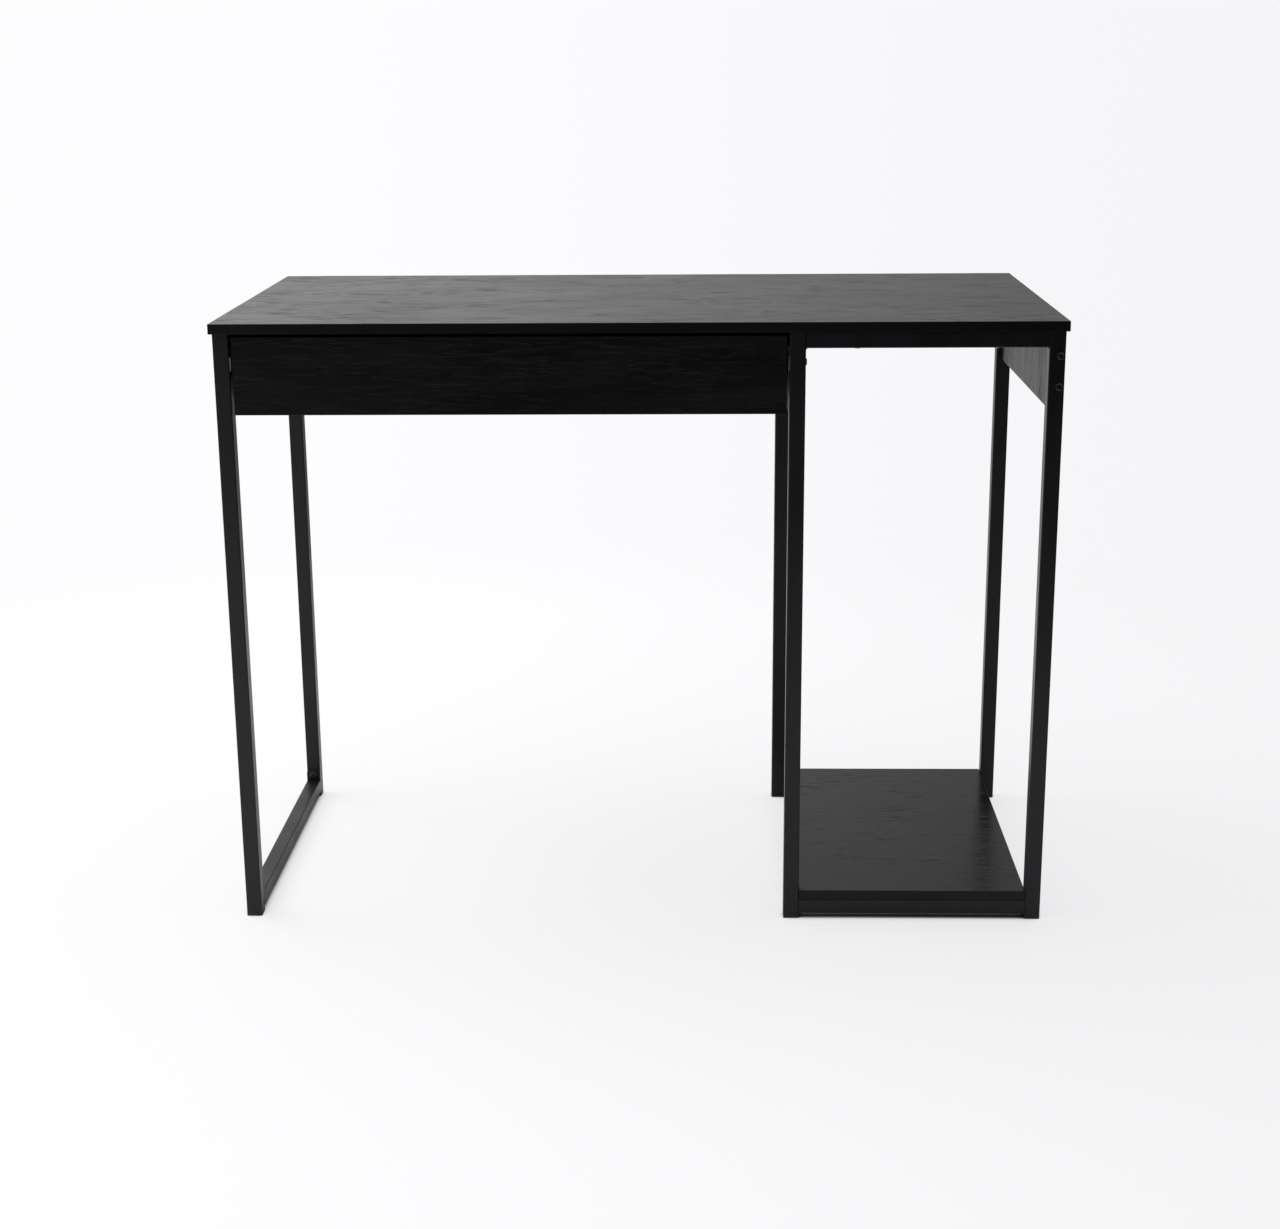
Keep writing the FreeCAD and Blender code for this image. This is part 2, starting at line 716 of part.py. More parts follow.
def hex_nut(spec, seat):
    """A welded nut around a bolt, on the inner face of the tube wall."""
    at = spec["at"] + spec["into"] * seat
    corner = NUT_WIDTH / 3 ** 0.5
    points = []
    for turn in range(7):
        ray = FreeCAD.Rotation(Z_AXIS, 60 * turn).multVec(X_AXIS * corner)
        points.append(ray)
    nut = Part.Face(Part.makePolygon(points)).extrude(Z_AXIS * NUT_HEIGHT)
    nut = nut.cut(rod(-Z_AXIS * CUT_PAST, Z_AXIS, spec["kind"]["shank"], NUT_HEIGHT + 2 * CUT_PAST))
    return placed(nut, at, spec["into"])


def make_weld_nuts():
    """Nuts inside the left legs for the rail tabs and for the left runner's tab."""
    nuts = [hex_nut(tab_bolt(end), TAB_THICK + TUBE_WALL) for end in LEG_Y]
    nuts.append(hex_nut(LEFT_TAB_BOLT, RUNNER_STEEL + TUBE_WALL))
    return Part.Compound(nuts)


# Runners. Each is drawn by how far it stands off its panel's face.

def runner_block(side, off0, off1, y0, y1, z0, z1):
    """A box given by its distances from the panel face and from the runner's centre line."""
    a = RUNNER_FACE[side] + SIDE_OF[side] * off0
    b = RUNNER_FACE[side] + SIDE_OF[side] * off1
    return block(min(a, b), max(a, b), y0, y1, RUNNER_Z + z0, RUNNER_Z + z1)


RACE_HALF = RUNNER_HEIGHT / 2 - RUNNER_STEEL
BALL_HALF = RACE_HALF - BALL_GAP - BALL_DIAMETER / 2
MEMBER_HALF = BALL_HALF - BALL_DIAMETER / 2 - BALL_GAP


def make_cabinet_member(side):
    """The outer member: a channel on the panel, and a tab at its front bolted to the leg."""
    half = RUNNER_HEIGHT / 2
    pieces = [runner_block(side, 0, RUNNER_STEEL, RUNNER_FRONT, RUNNER_REAR, -half, half)]
    lip_end = RUNNER_LIP_AT + RUNNER_STEEL
    for way in (-1, 1):
        flange = sorted((way * RACE_HALF, way * half))
        pieces.append(runner_block(side, 0, lip_end, RUNNER_FRONT, RUNNER_REAR, *flange))
        lip = sorted((way * (half - RUNNER_LIP_FALL - RUNNER_STEEL), way * half))
        pieces.append(runner_block(side, RUNNER_LIP_AT, lip_end, RUNNER_FRONT, RUNNER_REAR, *lip))
    tab = RUNNER_TAB_HEIGHT / 2
    pieces.append(runner_block(
        side, 0, RUNNER_STEEL, FRAME_FRONT + TUBE_WALL, RUNNER_FRONT + CUT_PAST, -tab, tab,
    ))
    tab_screw = LEFT_TAB_BOLT if side == "left" else RIGHT_TAB_BOLT
    return without(joined(pieces), holes_for(cabinet_screws(side) + [tab_screw]))


def make_drawer_member(side):
    """The inner member: a channel on the drawer's side, open towards the outer member."""
    web = RUNNER_SPACE - RUNNER_STEEL
    pieces = [runner_block(
        side, web, RUNNER_SPACE, FRONT_BACK_FACE, MEMBER_REAR, -MEMBER_HALF, MEMBER_HALF,
    )]
    for way in (-1, 1):
        flange = sorted((way * (MEMBER_HALF - RUNNER_STEEL), way * MEMBER_HALF))
        pieces.append(runner_block(
            side, MEMBER_TIP_AT, RUNNER_SPACE, FRONT_BACK_FACE, MEMBER_REAR, *flange,
        ))
    return without(joined(pieces), holes_for(drawer_member_screws(side)))


CAGE_FRONT = RUNNER_FRONT + CAGE_START + DRAWER_TRAVEL / 2
CAGE_REAR = CAGE_FRONT + CAGE_LENGTH


def ball_centres(side):
    """The centres of a runner's balls, in an upper and a lower row."""
    x = RUNNER_FACE[side] + SIDE_OF[side] * BALL_CENTRE
    first = (CAGE_FRONT + CAGE_REAR) / 2 - (BALLS_PER_ROW - 1) * BALL_PITCH / 2
    return [
        Vector(x, first + step * BALL_PITCH, RUNNER_Z + way * BALL_HALF)
        for way in (-1, 1)
        for step in range(BALLS_PER_ROW)
    ]


def make_balls(side):
    """The steel balls of one runner."""
    balls = [Part.makeSphere(BALL_DIAMETER / 2, centre) for centre in ball_centres(side)]
    return Part.Compound(balls)


def make_cage(side):
    """The bent steel strip that keeps the balls apart."""
    edge = BALL_HALF + CAGE_STEEL / 2
    pieces = [runner_block(
        side, CAGE_WEB_AT, CAGE_WEB_AT + CAGE_STEEL, CAGE_FRONT, CAGE_REAR, -edge, edge,
    )]
    for way in (-1, 1):
        flange = sorted((way * (edge - CAGE_STEEL), way * edge))
        pieces.append(runner_block(
            side, CAGE_WEB_AT, CAGE_END_AT, CAGE_FRONT, CAGE_REAR, *flange,
        ))
    radius = BALL_DIAMETER / 2 + CAGE_BALL_GAP
    pockets = [
        rod(centre - Z_AXIS * CAGE_STEEL, Z_AXIS, radius, 2 * CAGE_STEEL)
        for centre in ball_centres(side)
    ]
    return without(joined(pieces), pockets)


def make_bumpers():
    """Rubber stops at the rear of the outer members."""
    return Part.Compound([
        runner_block(
            side, RUNNER_STEEL, RUNNER_LIP_AT, RUNNER_REAR - BUMPER_LENGTH, RUNNER_REAR,
            -MEMBER_HALF, MEMBER_HALF,
        )
        for side in SIDE_OF
    ])


# Drawer

def dowel_starts(side):
    """Where the dowels in one drawer side begin, inside the drawer front."""
    x0, x1 = drawer_side_box(side)
    return [
        Vector((x0 + x1) / 2, FRONT_BACK_FACE - DOWEL_IN_FRONT, BOX_MIDDLE + offset)
        for offset in (-DOWEL_OFFSET, DOWEL_OFFSET)
    ]


def dowel_shapes(side):
    """The wooden dowels between the drawer front and one side."""
    length = DOWEL_IN_FRONT + DOWEL_IN_SIDE
    return [rod(at, Y_AXIS, DOWEL_RADIUS, length) for at in dowel_starts(side)]


def cam_bolt_shape(side):
    """The steel dowel from the drawer front into one side's cam."""
    x0, x1 = drawer_side_box(side)
    at = Vector((x0 + x1) / 2, FRONT_BACK_FACE - CAM_BOLT_IN_FRONT, BOX_MIDDLE)
    return rod(at, Y_AXIS, DOWEL_RADIUS, CAM_BOLT_IN_FRONT + CAM_SETBACK)


def cam_pocket(side):
    """The round pocket for a cam, open to the inside of the drawer."""
    x0, x1 = drawer_side_box(side)
    inner = x1 if side == "left" else x0
    at = Vector(inner, FRONT_BACK_FACE + CAM_SETBACK, BOX_MIDDLE)
    return rod(at, -X_AXIS * SIDE_OF[side], CAM_RADIUS, CAM_DEPTH)


def make_drawer_front():
    """The drawer's face board inside its edge bands."""
    board = block(
        OPENING_LEFT + DRAWER_SIDE_GAP + BAND_THICK, OPENING_RIGHT - DRAWER_SIDE_GAP - BAND_THICK,
        FRAME_FRONT, FRONT_BACK_FACE,
        DRAWER_FRONT_BOTTOM + BAND_THICK, DRAWER_FRONT_TOP - BAND_THICK,
    )
    groove = block(
        BOX_LEFT + DRAWER_BOARD - GROOVE_DEPTH, BOX_RIGHT - DRAWER_BOARD + GROOVE_DEPTH,
        FRONT_BACK_FACE - GROOVE_DEPTH, FRONT_BACK_FACE + CUT_PAST, FLOOR_UNDERSIDE, FLOOR_TOP,
    )
    cutters = [groove]
    for side in SIDE_OF:
        cutters += dowel_shapes(side) + [cam_bolt_shape(side)]
    return without(board, cutters)


def make_drawer_front_bands():
    """The bands around the drawer's face board: long ones top and bottom, short ones between."""
    x0 = OPENING_LEFT + DRAWER_SIDE_GAP
    x1 = OPENING_RIGHT - DRAWER_SIDE_GAP
    front = FRAME_FRONT
    rear = FRONT_BACK_FACE
    bottom = DRAWER_FRONT_BOTTOM + BAND_THICK
    top = DRAWER_FRONT_TOP - BAND_THICK
    return Part.Compound([
        band_strip(x0, x1, front, rear, DRAWER_FRONT_BOTTOM, bottom, X_AXIS, -Z_AXIS),
        band_strip(x0, x1, front, rear, top, DRAWER_FRONT_TOP, X_AXIS, Z_AXIS),
        band_strip(x0, x0 + BAND_THICK, front, rear, bottom, top, Z_AXIS, -X_AXIS),
        band_strip(x1 - BAND_THICK, x1, front, rear, bottom, top, Z_AXIS, X_AXIS),
    ])


def make_drawer_side(side):
    """One side of the drawer box, grooved for the bottom."""
    x0, x1 = drawer_side_box(side)
    board = block(x0, x1, FRONT_BACK_FACE, BOX_REAR, BOX_BOTTOM, BOX_TOP)
    inner = x1 if side == "left" else x0
    groove = block(
        inner - GROOVE_DEPTH, inner + GROOVE_DEPTH, FRONT_BACK_FACE - CUT_PAST,
        BOX_REAR + CUT_PAST, FLOOR_UNDERSIDE, FLOOR_TOP,
    )
    back_screws = drawer_back_screws(side)
    cutters = [groove, cam_pocket(side), cam_bolt_shape(side)] + dowel_shapes(side)
    cutters += holes_for(drawer_member_screws(side)) + holes_for(back_screws)
    cutters += head_pockets(back_screws)
    return without(board, cutters)


def make_drawer_back():
    """The back of the drawer box, which stands on the bottom."""
    board = block(
        BOX_LEFT + DRAWER_BOARD, BOX_RIGHT - DRAWER_BOARD, BOX_REAR - DRAWER_BOARD, BOX_REAR,
        FLOOR_TOP, BOX_TOP,
    )
    screws = drawer_back_screws("left") + drawer_back_screws("right") + DRAWER_BOTTOM_SCREWS
    return without(board, holes_for(screws))


def make_drawer_bottom():
    """The thin sheet in the grooves of the sides and the front."""
    reach = GROOVE_DEPTH - GROOVE_GAP
    board = block(
        BOX_LEFT + DRAWER_BOARD - reach, BOX_RIGHT - DRAWER_BOARD + reach,
        FRONT_BACK_FACE - reach, BOX_REAR, FLOOR_UNDERSIDE, FLOOR_TOP,
    )
    return without(board, holes_for(DRAWER_BOTTOM_SCREWS))


def make_cams():
    """The cam locks in the drawer's sides."""
    return Part.Compound([cam_pocket(side).cut(cam_bolt_shape(side)) for side in SIDE_OF])


def main():
    """Write every node."""
    os.makedirs("parts", exist_ok=True)
    save("desk_top", make_desk_top())
    save("desk_top_edge_bands", make_desk_top_bands())
    for side in LEG_X:
        for end in LEG_Y:
            save(side + "_" + end + "_leg", make_leg(side, end))
        save(side + "_side_panel", make_side_panel(side))
    save("leg_glides", make_glides())
    save("leg_top_plugs", make_top_plugs())
    save("left_bottom_rail", make_left_bottom_rail())
    for end in LEG_Y:
        save("bay_" + end + "_top_rail", make_bay_rail(end, TOP_RAIL_Z, TOP_RAIL_SCREWS[end]))
        save("bay_" + end + "_bottom_rail", make_bay_rail(end, RAIL_LIFT, SHELF_SCREWS[end]))
    save("back_panel", make_back_panel())
    save("panel_edge_bands", make_panel_bands())
    save("shelf_board", make_shelf_board())
    save("shelf_edge_bands", make_shelf_bands())

    side_bolts = side_panel_bolts("right", "front")
    for side in LEG_X:
        side_bolts += side_panel_bolts(side, "rear")
    save("side_panel_bolts", fastener_group(side_bolts))
    save("back_panel_bolts", fastener_group(back_panel_bolts("left") + back_panel_bolts("mid")))
    save("panel_threaded_inserts", make_inserts())
    save("panel_locating_pins", Part.Compound(pin_shapes("left") + pin_shapes("mid")))
    save("rail_tab_bolts", fastener_group([tab_bolt("front"), tab_bolt("rear")]))
    save("leg_weld_nuts", make_weld_nuts())
    save("runner_tab_bolts", fastener_group([LEFT_TAB_BOLT, RIGHT_TAB_BOLT]))
    save("top_brackets", make_brackets())
    save("top_bracket_screws", make_bracket_screws())
    save("top_rail_screws", fastener_group(TOP_RAIL_SCREWS["front"] + TOP_RAIL_SCREWS["rear"]))
    save("shelf_screws", fastener_group(SHELF_SCREWS["front"] + SHELF_SCREWS["rear"]))

    for side in SIDE_OF:
        save(side + "_runner_cabinet_member", make_cabinet_member(side))
        save(side + "_runner_drawer_member", make_drawer_member(side))
        save(side + "_runner_balls", make_balls(side))
        save(side + "_ball_cage", make_cage(side))
        save("drawer_" + side + "_side", make_drawer_side(side))
    save("cabinet_member_screws", fastener_group(cabinet_screws("left") + cabinet_screws("right")))
    save("runner_bumpers", make_bumpers())
    member_screws = drawer_member_screws("left") + drawer_member_screws("right")
    save("drawer_member_screws", fastener_group(member_screws))

    save("drawer_front", make_drawer_front())
    save("drawer_front_edge_bands", make_drawer_front_bands())
    save("drawer_back", make_drawer_back())
    save("drawer_bottom", make_drawer_bottom())
    save("drawer_cam_locks", make_cams())
    save("drawer_cam_bolts", Part.Compound([cam_bolt_shape(side) for side in SIDE_OF]))
    save("drawer_dowels", Part.Compound(dowel_shapes("left") + dowel_shapes("right")))
    back_screws = drawer_back_screws("left") + drawer_back_screws("right")
    save("drawer_back_screws", fastener_group(back_screws))
    save("drawer_bottom_screws", fastener_group(DRAWER_BOTTOM_SCREWS))


main()
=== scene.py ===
"""A black writing desk with one drawer and an open bay, on a pale studio floor.

Metres, +Z up, the desk's front towards -Y. The frame's nodes keep their shapes and get their
finishes here; the weld beads and the cam locks are added as worked-out surfaces.
"""
from math import pi, radians

import bpy
import numpy as np
from mathutils import Matrix, Vector


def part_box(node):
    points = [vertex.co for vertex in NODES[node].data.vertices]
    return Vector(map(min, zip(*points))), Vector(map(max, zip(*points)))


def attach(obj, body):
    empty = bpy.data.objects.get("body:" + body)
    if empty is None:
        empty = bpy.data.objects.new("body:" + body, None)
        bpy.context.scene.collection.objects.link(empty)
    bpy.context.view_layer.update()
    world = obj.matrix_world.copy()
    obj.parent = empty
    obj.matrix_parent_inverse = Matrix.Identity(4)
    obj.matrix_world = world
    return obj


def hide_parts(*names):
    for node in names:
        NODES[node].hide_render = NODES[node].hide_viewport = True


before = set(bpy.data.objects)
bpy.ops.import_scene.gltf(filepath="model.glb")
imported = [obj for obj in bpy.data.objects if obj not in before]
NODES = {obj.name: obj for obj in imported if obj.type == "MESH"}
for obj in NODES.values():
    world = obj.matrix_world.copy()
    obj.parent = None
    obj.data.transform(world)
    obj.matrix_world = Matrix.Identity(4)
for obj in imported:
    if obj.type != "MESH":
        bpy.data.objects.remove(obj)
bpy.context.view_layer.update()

MM = 0.001

# The view: a long lens in front of the desk, a little right of its middle and above its top
LENS_MM = 59.12
SENSOR_MM = 36.0
EYE = Vector((0.0715, -2.6819, 1.0696))
TURN_LEFT = radians(1.651)
LOOK_DOWN = radians(15.502)
LEAN = radians(-0.435)

# The floor: a disc that is solid out to one radius and gone near its rim
FLOOR_RADIUS = 2.0
FLOOR_SOLID_TO = 1.15
FLOOR_GONE_AT = 0.97 * FLOOR_RADIUS
FLOOR_DROP = 0.2 * MM
FLOOR_RINGS = 24
FLOOR_SPOKES = 96
FLOOR_WHITE = "#EDEDEE"

# The floor's glow, a painted light, as a share of what the view sees of it. Close to what stands
# on it the glow drops from full to none, a painted contact shadow, as the open share of the
# directions within reach falls from the second of the two values to the first
FLOOR_GLOW_SHARE = 0.76
CONTACT_REACH = 0.027
CONTACT_OPENNESS = (0.26, 0.68)

# The white that the view sees past the floor, and the glow's colour
SKY_WHITE = "#FBFBFD"

# How light changes across the room. Each is: from, to, and the strength at each of the two
SKY_ACROSS = (-0.25, 0.25, 1.02, 0.95)
FLOOR_ACROSS = (-0.6, 1.1, 0.995, 0.90)
LEFT_WALL = (-0.34, 0.26, 1.0, 0.33)
BACK_WALL = (-0.35, 0.30, 0.09, 1.0)
CEILING = (0.45, 0.85, 0.0, 1.1)

# Softboxes. Each is: its place, the point it faces, its side in metres and its watts
SOFTBOXES = {
    "key_softbox": ((-2.6, 0.5, 2.6), (0.0, 0.0, 0.3), 2.4, 60.0),
    "fill_softbox": ((2.4, 0.6, 2.6), (0.0, 0.0, 0.3), 2.0, 14.0),
    "low_front_softbox": ((-1.15, -1.35, 0.16), (-0.5, -0.25, 0.20), 0.5, 2.2),
}

# Woodgrain: lengths along and across the grain
BOARD_CLOUD = (0.55, 0.09)
RING_HILLS = (0.62, 0.085)
SWELL = (0.075, 0.024)
PORE_PATCH = (0.10, 0.045)
PORE = (0.030, 0.0040)
FLECK = (0.027, 0.0036)

# How far the sine of the growth rings runs over the whole height of their hills
RING_RADIANS = 52.0

# The boards' slow change of gloss: lengths along X, Y and Z
GLOSS_CLOUD = (0.21, 0.17, 0.19)

# Weld beads
WELD_RADIUS = 2.2 * MM
WELD_RIPPLE = 1.3 * MM
WELD_INSET = 1.6 * MM
WELD_TAPER = 0.9
WELD_RIPPLE_SHARE = 0.07
WELD_STATIONS = 61
WELD_ARC_POINTS = 13

# Cam locks
CROSS_HALF_WIDTH = 1.1 * MM
CROSS_REACH = 4.6 * MM
CROSS_DEPTH = 2.6 * MM
CROSS_SLOPE = 0.4 * MM
CAM_RIM = 0.5 * MM
CAM_SPOKES = 96
CAM_FACE_RINGS = 26
CAM_RIM_RINGS = 5

# A new piece's edges are shaded smooth up to this angle
SHARP_FROM = radians(38.0)


# Small tools

def linear(hex_colour):
    """An sRGB hex colour as the linear RGBA that shaders take."""
    parts = np.array([int(hex_colour[i:i + 2], 16) for i in (1, 3, 5)]) / 255.0
    low = parts / 12.92
    high = ((parts + 0.055) / 1.055) ** 2.4
    return (*np.where(parts <= 0.04045, low, high).tolist(), 1.0)


def add(tree, kind, inputs=None, **settings):
    """Adds one node, sets its properties, then sets its inputs or links sockets to them."""
    node = tree.nodes.new(kind)
    for name, value in settings.items():
        setattr(node, name, value)
    for socket, value in (inputs or {}).items():
        if isinstance(value, bpy.types.NodeSocket):
            tree.links.new(value, node.inputs[socket])
        else:
            node.inputs[socket].default_value = value
    return node


def start_material(name, **uniform):
    """A material with a bare Principled shader whose even settings are given by socket name."""
    material = bpy.data.materials.new(name)
    material.use_nodes = True
    tree = material.node_tree
    tree.nodes.clear()
    shader = add(tree, "ShaderNodeBsdfPrincipled")
    for socket, value in uniform.items():
        shader.inputs[socket.replace("_", " ")].default_value = value
    add(tree, "ShaderNodeOutputMaterial", {"Surface": shader.outputs["BSDF"]})
    return material, tree, shader


def finish_with(tree, shader, **links):
    """Links worked-out values to the shader by socket name."""
    for socket, value in links.items():
        tree.links.new(value, shader.inputs[socket.replace("_", " ")])


def stretched(tree, size):
    """Object coordinates divided by a size in metres along each axis, so one unit is one size."""
    place = add(tree, "ShaderNodeTexCoord").outputs["Object"]
    scale = tuple(1.0 / step for step in size)
    return add(tree, "ShaderNodeMapping", {"Vector": place, "Scale": scale}).outputs["Vector"]


def noise(tree, size, detail=2.0, rough=0.5, distort=0.0):
    """Cloudy noise, 0 to 1, whose blobs measure about size along each axis."""
    node = add(tree, "ShaderNodeTexNoise", {
        "Vector": stretched(tree, size), "Scale": 1.0, "Detail": detail,
        "Roughness": rough, "Distortion": distort,
    })
    return node.outputs["Fac"]


def grains(tree, size, detail=2.0):
    """Cloudy noise whose blobs are as long along every axis."""
    return noise(tree, (size, size, size), detail)


def ramp(tree, value, low, high, out_low=0.0, out_high=1.0):
    """Maps low..high smoothly to out_low..out_high and holds the ends."""
    node = add(tree, "ShaderNodeMapRange", {
        "Value": value, "From Min": low, "From Max": high,
        "To Min": out_low, "To Max": out_high,
    }, interpolation_type="SMOOTHSTEP")
    return node.outputs["Result"]


def maths(tree, operation, first, second=0.0):
    """One step of arithmetic on one or two values."""
    node = add(tree, "ShaderNodeMath", {0: first, 1: second}, operation=operation)
    return node.outputs["Value"]


def summed(tree, *terms):
    """The sum of values, each given with its share."""
    total = None
    for value, share in terms:
        part = value if share == 1.0 else maths(tree, "MULTIPLY", value, share)
        total = part if total is None else maths(tree, "ADD", total, part)
    return total


def blended(tree, share, first, second):
    """A colour between two colours."""
    node = add(tree, "ShaderNodeMix", {0: share, 6: first, 7: second}, data_type="RGBA")
    return node.outputs[2]


def two_tone(tree, value, low, high, first, second):
    """A colour that goes from one hex colour at low to another at high."""
    return blended(tree, ramp(tree, value, low, high), linear(first), linear(second))


def facing(tree, axis):
    """How far the surface looks along an axis, -1 to 1."""
    normal = add(tree, "ShaderNodeNewGeometry").outputs["Normal"]
    return add(tree, "ShaderNodeSeparateXYZ", {"Vector": normal}).outputs[axis]


def relief(tree, height, depth):
    """A normal bumped by a height of 0 to 1 that stands for depth metres."""
    node = add(tree, "ShaderNodeBump", {"Height": height, "Distance": depth, "Strength": 1.0})
    return node.outputs["Normal"]


# Finishes

def along_grain(grain, size):
    """A size along each axis, from one along the grain and one across it."""
    length, width = size
    sizes = [width, width, width]
    sizes["XYZ".index(grain)] = length
    return tuple(sizes)


def woodgrain_laminate(
    name, grain, dark, light, shine, gleam, pressed, calm=0.2, swelling=0.35, painted_shade_side=0.0,
):
    """Melamine laminate: printed paper pressed on chipboard under an embossed plate.

    It looks like black-stained ash: faint cathedral bands about 10 mm apart, a slow swell of
    the board 24 mm wide, and pressed pores drawn as short strokes. The pores are darker, partly
    the print's dark pores and partly painted shade in their recesses, and the flecks beside them
    stand up and are painted lighter, a painted highlight on the emboss. Real pores are 0.3 mm
    wide; they are drawn 2 mm wide so that they show. Shine is the roughness, gleam the specular
    level. The relief is pressed mm deep, calm is the share of it left between its patches, and
    swelling the part of the swell. Given 1 or -1 for the last argument, the side that faces +X
    or -X is made matt and nearly black, a painted shade.
    """
    material, tree, shader = start_material(name, Specular_IOR_Level=gleam)
    board_tone = ramp(tree, noise(tree, along_grain(grain, BOARD_CLOUD), 3.0), 0.3, 0.7)
    hills = noise(tree, along_grain(grain, RING_HILLS), 2.5, 0.45, 0.3)
    wave = maths(tree, "SINE", maths(tree, "MULTIPLY", hills, RING_RADIANS))
    rings = ramp(tree, wave, -0.9, 0.9)
    swell = ramp(tree, noise(tree, along_grain(grain, SWELL), 2.0, 0.6), 0.32, 0.68)
    patch = ramp(tree, noise(tree, along_grain(grain, PORE_PATCH), 1.0), 0.38, 0.62, calm, 1.0)
    strokes = noise(tree, along_grain(grain, PORE), 0.0, 0.5, 0.12)
    pores = maths(tree, "MULTIPLY", ramp(tree, strokes, 0.58, 0.66), patch)
    flecks = noise(tree, along_grain(grain, FLECK), 0.0, 0.5, 0.12)
    raised_and_painted_highlight = maths(tree, "MULTIPLY", ramp(tree, flecks, 0.62, 0.70), patch)
    # The fleck mask also lightens the colour, a painted highlight on the emboss
    tone = summed(tree, (rings, 0.20), (swell, 0.20), (board_tone, 0.25), (raised_and_painted_highlight, 0.45))
    colour = blended(tree, tone, linear(dark), linear(light))
    # The pores are painted darker: partly the print's dark pores, partly painted shade in the
    # recesses
    colour = blended(tree, maths(tree, "MULTIPLY", pores, 0.9), colour, linear("#030303"))
    gloss = ramp(tree, noise(tree, GLOSS_CLOUD), 0.3, 0.7, shine - 0.02, shine + 0.02)
    gloss = summed(tree, (gloss, 1.0), (rings, 0.03), (pores, 0.2))
    height = summed(tree, (swell, swelling), (pores, -1.0), (rings, 0.12), (raised_and_painted_highlight, 0.5))
    # The side facing the drawer: rougher, and nearly black, a painted shade
    if painted_shade_side:
        matt_and_painted_shade_face = ramp(tree, maths(tree, "MULTIPLY", facing(tree, "X"), painted_shade_side), 0.4, 0.6)
        gloss = summed(tree, (gloss, 1.0), (matt_and_painted_shade_face, 0.4))
        colour = blended(tree, matt_and_painted_shade_face, colour, linear("#0A0A0B"))
    normal = relief(tree, height, pressed * MM)
    finish_with(tree, shader, Base_Color=colour, Roughness=gloss, Normal=normal)
    return material


def abs_edge_band():
    """ABS edge band: an extruded strip with a fine pearl emboss, blacker than the boards."""
    material, tree, shader = start_material("abs_edge_band", Specular_IOR_Level=0.20)
    pearl = grains(tree, 1.1 * MM, 1.0)
    shade = noise(tree, (0.3, 0.3, 0.02), 2.0)
    colour = two_tone(tree, shade, 0.3, 0.7, "#08080B", "#0D0D10")
    gloss = ramp(tree, pearl, 0.3, 0.7, 0.34, 0.44)
    normal = relief(tree, pearl, 0.03 * MM)
    finish_with(tree, shader, Base_Color=colour, Roughness=gloss, Normal=normal)
    return material


def powder_coat():
    """Powder coat on steel tube: baked satin black, with the orange peel of a flowed powder.

    Real peel repeats every millimetre or so; it is drawn at 2 mm so that it shows.
    """
    material, tree, shader = start_material("satin_black_powder_coat", Specular_IOR_Level=0.33)
    peel = noise(tree, (2.0 * MM, 2.0 * MM, 2.0 * MM), 1.5, 0.45)
    grit = grains(tree, 0.5 * MM, 1.0)
    film = noise(tree, (0.05, 0.05, 0.16), 2.0)
    colour = two_tone(tree, film, 0.3, 0.7, "#050508", "#090911")
    gloss = ramp(tree, film, 0.3, 0.7, 0.36, 0.43)
    gloss = summed(tree, (gloss, 1.0), (grit, 0.04))
    normal = relief(tree, summed(tree, (grit, 0.25), (peel, 1.0)), 0.045 * MM)
    finish_with(tree, shader, Base_Color=colour, Roughness=gloss, Normal=normal)
    return material


def moulded_polyethylene():
    """Injection-moulded polyethylene: waxy, matt, with a spark-eroded texture."""
    material, tree, shader = start_material("moulded_black_polyethylene", IOR=1.51)
    spark = grains(tree, 0.7 * MM)
    scuff = noise(tree, (0.006, 0.006, 0.002), 3.0)
    colour = two_tone(tree, scuff, 0.5, 0.8, "#121213", "#1F1F20")
    gloss = ramp(tree, spark, 0.3, 0.7, 0.50, 0.62)
    normal = relief(tree, spark, 0.05 * MM)
    finish_with(tree, shader, Base_Color=colour, Roughness=gloss, Normal=normal)
    return material


def black_zinc():
    """Black zinc plate on bolts: a thin dark film over steel that still shines on its rims."""
    material, tree, shader = start_material("black_zinc_plate", Metallic=0.85)
    stain = grains(tree, 3 * MM, 3.0)
    colour = two_tone(tree, stain, 0.35, 0.75, "#2A2A2C", "#4B4B50")
    gloss = ramp(tree, stain, 0.3, 0.7, 0.30, 0.45)
    normal = relief(tree, stain, 0.02 * MM)
    finish_with(tree, shader, Base_Color=colour, Roughness=gloss, Normal=normal)
    return material


def zinc_plate():
    """Bright zinc plate on pressed steel: rolled lines along the strip and a cool, cloudy sheen."""
    material, tree, shader = start_material("bright_zinc_plate", Metallic=1.0)
    rolled = noise(tree, (0.4 * MM, 0.08, 0.4 * MM), 2.0, 0.6)
    cloud = noise(tree, (0.014, 0.03, 0.014), 3.0)
    colour = two_tone(tree, cloud, 0.3, 0.7, "#8C9197", "#AAABA8")
    gloss = ramp(tree, rolled, 0.3, 0.7, 0.28, 0.42)
    normal = relief(tree, rolled, 0.015 * MM)
    finish_with(tree, shader, Base_Color=colour, Roughness=gloss, Normal=normal)
    return material


def cast_zinc():
    """Die-cast zinc: dull grey metal with the fine pits of the die."""
    material, tree, shader = start_material("die_cast_zinc", Metallic=1.0)
    pits = grains(tree, 0.5 * MM)
    flow = noise(tree, (4 * MM, 4 * MM, 4 * MM), 3.0, 0.5, 0.6)
    colour = two_tone(tree, flow, 0.3, 0.7, "#8B8D90", "#A9ABAD")
    gloss = ramp(tree, pits, 0.3, 0.7, 0.38, 0.55)
    normal = relief(tree, pits, 0.03 * MM)
    finish_with(tree, shader, Base_Color=colour, Roughness=gloss, Normal=normal)
    return material


